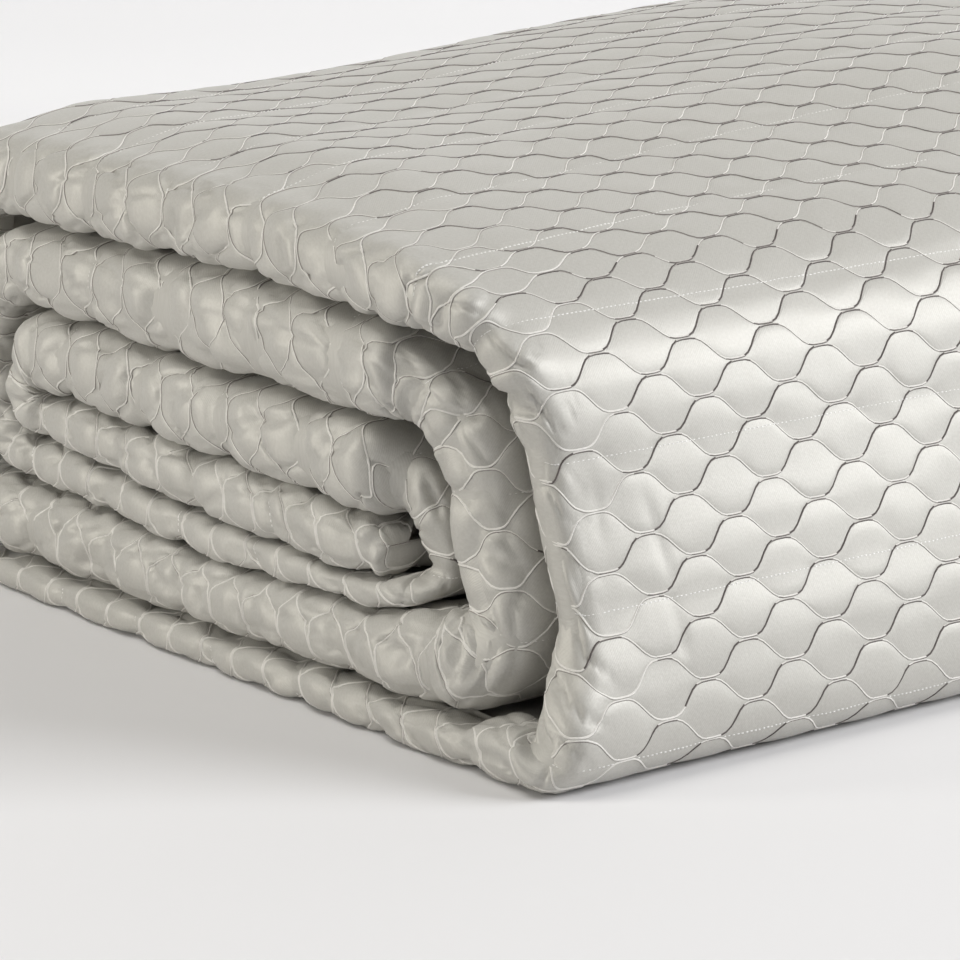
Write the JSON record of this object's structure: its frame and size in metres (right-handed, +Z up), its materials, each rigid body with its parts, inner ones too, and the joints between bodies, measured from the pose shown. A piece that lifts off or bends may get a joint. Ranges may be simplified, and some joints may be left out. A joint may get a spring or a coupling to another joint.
{
  "type": "folded quilt",
  "caption": "Quilted coverlet folded in four across and rolled flat into a low stack, with rounded fold bands at one end.",
  "frame": {"origin": "middle of the footprint, on the surface that the folded quilt rests on", "axes": "+X along the stack away from its banded end, +Y from the front face to the back, +Z up"},
  "size_m": [0.6012, 0.4206, 0.2136],
  "materials": {
    "satin": "silver-grey satin weave, soft sheen, thin raised ogee lines"
  },
  "bodies": {
    "root": {"quilt": "satin"}
  },
  "joints": []
}
